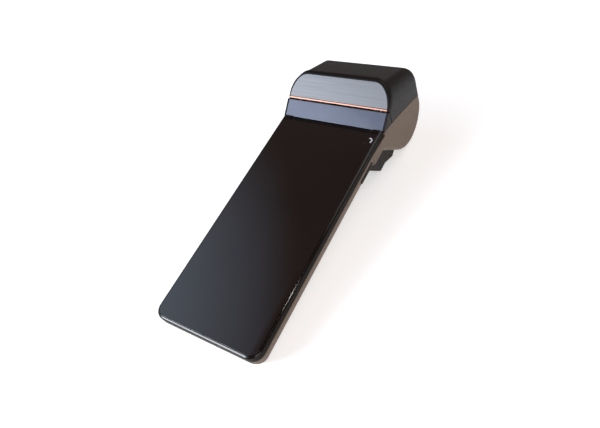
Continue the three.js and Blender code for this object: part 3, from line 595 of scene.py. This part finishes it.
def add_camera_block():
    ramp = along_x(housing_profile(-GAP), -FAR, FAR)
    pod = along_x(outline([
        (149.5, -SLAB_DEPTH - GAP), (160, -SLAB_DEPTH - GAP), (188, -33), (186.5, -40.4, 1),
        (182.5, -42.4, 1), (171.2, POD_FLOOR, 1.5), (163.4, POD_FLOOR, 1.5), (150.5, -21, 1)]),
        -34.5, 34.5, 0.8)
    pod = cut(pod, ramp, rod_z(-9, CAMERA_Y, POD_FLOOR - 1, POD_FLOOR + 1, 3.1),
              rod_z(3, CAMERA_Y, POD_FLOOR - 1, POD_FLOOR + 1, 2.3))
    piece("camera_block", pod, "dark_plastic", 0.15)
    low, high = POD_FLOOR + 0.3, POD_FLOOR + 0.8
    lens = [(0, low + 0.02), (0.5, low + 0.03), (0.9, low + 0.08), (0.95, low + 0.2), (1.3, low + 0.2),
            (1.4, low + 0.06), (1.85, low), (1.9, low + 0.05), (1.9, high), (0, high)]
    piece("camera_lens", turned(-9, CAMERA_Y, lens), "lens", 0)
    steps = []
    for k in range(7):
        radius = 0.25 + 0.26 * k
        steps += [(radius, low - 0.08), (radius + 0.02, low), (radius + 0.24, low - 0.08)]
    lamp = [(0, low - 0.08), *steps, (2.1, low), (2.1, high), (0, high)]
    piece("camera_lamp", turned(3, CAMERA_Y, lamp), "nylon", 0)
    rim = [(0, POD_FLOOR + 0.12), (2.5, POD_FLOOR + 0.1), (2.75, POD_FLOOR + 0.14),
           (2.9, POD_FLOOR + 0.35), (2.9, high), (0, high)]
    ring = cut(turned(-9, CAMERA_Y, rim), rod_z(-9, CAMERA_Y, POD_FLOOR - 1, POD_FLOOR + 2, 2.1))
    piece("camera_ring", ring, "alloy", 0.05)


# ---- fixed front of the head ----

def add_head_front():
    back_y, back_z = 182, -6.2
    profile = outline([(HEAD_FRONT, -4.8), PANEL_FOOT, PANEL_TOP, (back_y + 0.1, PANEL_TOP.y - 0.7),
                       (back_y, back_z)])
    inner = outline([(HEAD_FRONT - 5, -12), (HEAD_FRONT + 2.4, -3), into(PANEL_RUN, PANEL_TOP, 3),
                     (back_y + 5, 2), (back_y + 5, -12)])
    seat = along_x([into(PANEL_RUN, PANEL_FOOT, 1.3), into(PANEL_RUN, PANEL_FOOT, -5),
                    into(PANEL_RUN, PANEL_TOP, -5), into(PANEL_RUN, PANEL_TOP, 1.3)], -HALF_PLATE, HALF_PLATE)
    body = common(along_x(profile, -HALF_HEAD, HALF_HEAD), parting_half(True, PARTING_GAP))
    piece("head_front", cut(body, along_x(inner, -HALF_HEAD + 2, HALF_HEAD - 2), seat), "black_plastic", 0.2)
    low, high = PANEL_FOOT + PANEL_RUN * 0.3, PANEL_TOP - PANEL_RUN * 0.3
    panel = [into(PANEL_RUN, low, 1), low, high, into(PANEL_RUN, high, 1)]
    piece("lower_front_panel", along_x(panel, -HALF_PLATE + GAP, HALF_PLATE - GAP), "grey_gloss", 0.15)


# ---- lid ----

def add_lid():
    front_edge = 182.6
    crest_corner = PLATE_TOP + PLATE_RUN * 6

    def side(inset):
        foot = into(PLATE_RUN, PLATE_FOOT, inset)
        return along_x(outline([
            (front_edge + inset, -40), (front_edge + inset, foot.y - (1.2 if inset else 0)), foot,
            into(PLATE_RUN, crest_corner, inset * 1.2),
            (CROWN_END.x - inset, CROWN_END.y - inset * 0.6, 9 - inset),
            (REAR_Y - inset, -40)]), -FAR, FAR)
    cap = along_x([PLATE_FOOT, crest_corner, crest_corner + Vector((CAP_DEPTH, 0)),
                   PLATE_FOOT + Vector((CAP_DEPTH, 0))], -HALF_HEAD, HALF_HEAD)
    outer = join(common(side(0), arch_prism(0), head_plan(0)),
                 common(cap, arch_prism(0, RIM, PLATE_TOP.y, CAP_CORNER)))
    room = common(side(LID_WALL), arch_prism(LID_WALL, 0), head_plan(LID_WALL))
    mouth = block(-HALF_HEAD + LID_WALL, HALF_HEAD - LID_WALL, 150, 190, -60, 5.6)

    def plate_layer(draw_in, top, bottom, start, end):
        corners = [into(PLATE_RUN, PLATE_FOOT + PLATE_RUN * start, bottom),
                   into(PLATE_RUN, PLATE_FOOT + PLATE_RUN * end, bottom),
                   into(PLATE_RUN, PLATE_FOOT + PLATE_RUN * end, top),
                   into(PLATE_RUN, PLATE_FOOT + PLATE_RUN * start, top)]
        return common(along_x(corners, -HALF_HEAD, HALF_HEAD),
                      arch_prism(draw_in, 0, PLATE_TOP.y, CAP_CORNER))

    seat = plate_layer(RIM, -3, 1.3, -3, 30)
    knuckles = []
    for x0, x1 in [(-20, -10.15), (10.15, 20)]:
        knuckles.append(join(rod_x(x0, x1, *HINGE, KNUCKLE_RADIUS),
                             block(x0, x1, HINGE[0] - 0.7, HINGE[0] + 1.3, HINGE[1] + 0.6, HINGE[1] + 4)))
    reliefs = [rod_x(x0, x1, *HINGE, KNUCKLE_RADIUS + GAP)
               for x0, x1 in [(-30.3, -20), (-10.15, 10.15), (20, 30.3)]]
    shell = cut(common(outer, parting_half(True, PARTING_GAP)), room, mouth, seat, *reliefs)
    piece("lid_shell", cut(join(shell, *knuckles), rod_x(-32, 32, *HINGE, 0.95)), "black_plastic", 0.18,
          body="lid")
    piece("lid_front_plate", plate_layer(RIM + GAP, 0, 1, TRIM_HEIGHT + 0.5, 30), "brushed_plate", 0.12,
          body="lid")
    piece("copper_trim", plate_layer(RIM + GAP, -0.1, 1, 0.2, 0.2 + TRIM_HEIGHT), "copper", 0.1, body="lid")


add_screen()
add_casing()
add_side_key("volume_key", 1, *VOLUME_KEY)
add_side_key("power_key", -1, *POWER_KEY)
add_camera_block()
add_head_front()
add_lid()

# ---- CAD nodes that stay as they are ----
KEPT = {
    "black_plastic": ["display_module", "battery_connector", "loudspeaker", "paper_well"],
    "lens": ["front_camera"],
    "alloy": ["mid_frame", "print_head_sink"],
    "battery_wrap": ["battery_pack"],
    "board": ["main_board"],
    "steel": ["processor_shield", "radio_shield", "sam_card_socket", "usb_c_socket", "casing_screw_1",
              "casing_screw_2", "casing_screw_3", "casing_screw_4", "tear_bar", "printer_chassis", "feed_motor",
              "idler_post", "hinge_pin", "platen_shaft"],
    "copper": ["contactless_antenna"],
    "rubber": ["front_pad_left", "front_pad_right", "housing_pad", "platen_roller"],
    "ceramic": ["print_head_strip"],
    "nylon": ["platen_gear", "idler_gear"],
    "brass": ["motor_pinion", "platen_bush_1", "platen_bush_2"],
    "dark_plastic": ["platen_carrier"],
}
for slot_name, names in KEPT.items():
    for node_name in names:
        dress(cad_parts[node_name], slot_name, 0.06, weld=True)

# ---- stage ----
FLOOR_SIZE = 6.0
FLOOR_DROP = 0.0002               # keeps the floor just clear of the pads
SKY_DIRECTION = Vector((-0.85, -0.3, 0.43))   # the bright side of what the glass mirrors
SKY_DARK = (0.16, 0.11, 0.095, 1)
SKY_BRIGHT = (1.15, 1.35, 1.68, 1)
BACKDROP = (0.95, 0.95, 0.95, 1)
bm = bmesh.new()
bmesh.ops.create_grid(bm, x_segments=8, y_segments=8, size=FLOOR_SIZE / 2)
floor_mesh = bpy.data.meshes.new("floor")
bm.to_mesh(floor_mesh)
bm.free()
floor = bpy.data.objects.new("floor", floor_mesh)
bpy.context.scene.collection.objects.link(floor)
paint = finish("floor_paint", (244, 244, 244), 0.9, speck=60, mottle=0.01, relief=0.00001, specular=0.1)
glow = paint.node_tree.nodes["Principled BSDF"]
glow.inputs["Emission Color"].default_value = (1, 1, 1, 1)
glow.inputs["Emission Strength"].default_value = 0.5
floor_mesh.materials.append(paint)
floor.location.z = cad_bounds[0][2] - FLOOR_DROP

world = bpy.data.worlds.new("studio")
world.use_nodes = True
nodes, links = world.node_tree.nodes, world.node_tree.links
where = nodes.new("ShaderNodeTexCoord")
facing = nodes.new("ShaderNodeVectorMath")
facing.operation = "DOT_PRODUCT"
facing.inputs[1].default_value = SKY_DIRECTION.normalized()
links.new(where.outputs["Generated"], facing.inputs[0])
fade = nodes.new("ShaderNodeMapRange")
fade.interpolation_type = "SMOOTHSTEP"
fade.inputs["From Min"].default_value = 0.7
fade.inputs["From Max"].default_value = 1.0
links.new(facing.outputs["Value"], fade.inputs["Value"])
sky = nodes.new("ShaderNodeValToRGB")
sky.color_ramp.elements[0].color = SKY_DARK
sky.color_ramp.elements[1].color = SKY_BRIGHT
links.new(fade.outputs["Result"], sky.inputs["Fac"])
# Only what the glass and the plastic reflect fades from dark to blue; the backdrop itself is plain.
backdrop = nodes.new("ShaderNodeMixRGB")
backdrop.inputs["Color2"].default_value = BACKDROP
links.new(nodes.new("ShaderNodeLightPath").outputs["Is Camera Ray"], backdrop.inputs["Fac"])
links.new(sky.outputs["Color"], backdrop.inputs["Color1"])
links.new(backdrop.outputs["Color"], nodes["Background"].inputs["Color"])
bpy.context.scene.world = world
bpy.context.scene.view_settings.view_transform = "Standard"


def softbox(name, direction, distance, width, height, power, colour):
    data = bpy.data.lights.new(name, "AREA")
    data.shape = "RECTANGLE"
    data.size = width
    data.size_y = height
    data.energy = power
    data.color = colour
    lamp = bpy.data.objects.new(name, data)
    lamp.location = Vector(direction).normalized() * distance
    lamp.rotation_mode = "QUATERNION"
    lamp.rotation_quaternion = (-Vector(direction)).to_track_quat("-Z", "Y")
    bpy.context.scene.collection.objects.link(lamp)


softbox("window", (-0.55, -0.6, 0.62), 1.5, 1.3, 0.7, 5, (0.88, 0.94, 1.0))
softbox("strip", (-0.58, -0.67, 0.455), 1.25, 0.6, 0.26, 9, (0.9, 0.95, 1.0))
softbox("fill", (0.62, -0.55, 0.62), 1.4, 0.9, 0.9, 5.5, (1.0, 1.0, 1.0))
softbox("top", (0.35, 0.75, 1.0), 1.5, 0.9, 0.9, 4, (1.0, 1.0, 1.0))
softbox("spark", (0.45, 0.06, 0.9), 1.33, 0.045, 0.045, 0.3, (1.0, 1.0, 1.0))

# ---- camera ----
CAMERA_PLACE = Vector((0.1823, -0.1920, 0.2602))
CAMERA_AIM = Vector((-0.0051, -0.0006, 0.0))
CAMERA_ROLL = math.radians(-18.59)
CAMERA_LENS = 31.28
camera_data = bpy.data.cameras.new("camera")
camera_data.lens = CAMERA_LENS
camera_data.sensor_width = 36.0
camera = bpy.data.objects.new("camera", camera_data)
camera.location = CAMERA_PLACE
camera.rotation_mode = "QUATERNION"
camera.rotation_quaternion = ((CAMERA_AIM - CAMERA_PLACE).to_track_quat("-Z", "Y")
                              @ Quaternion((0, 0, 1), CAMERA_ROLL))
bpy.context.scene.collection.objects.link(camera)
bpy.context.scene.camera = camera
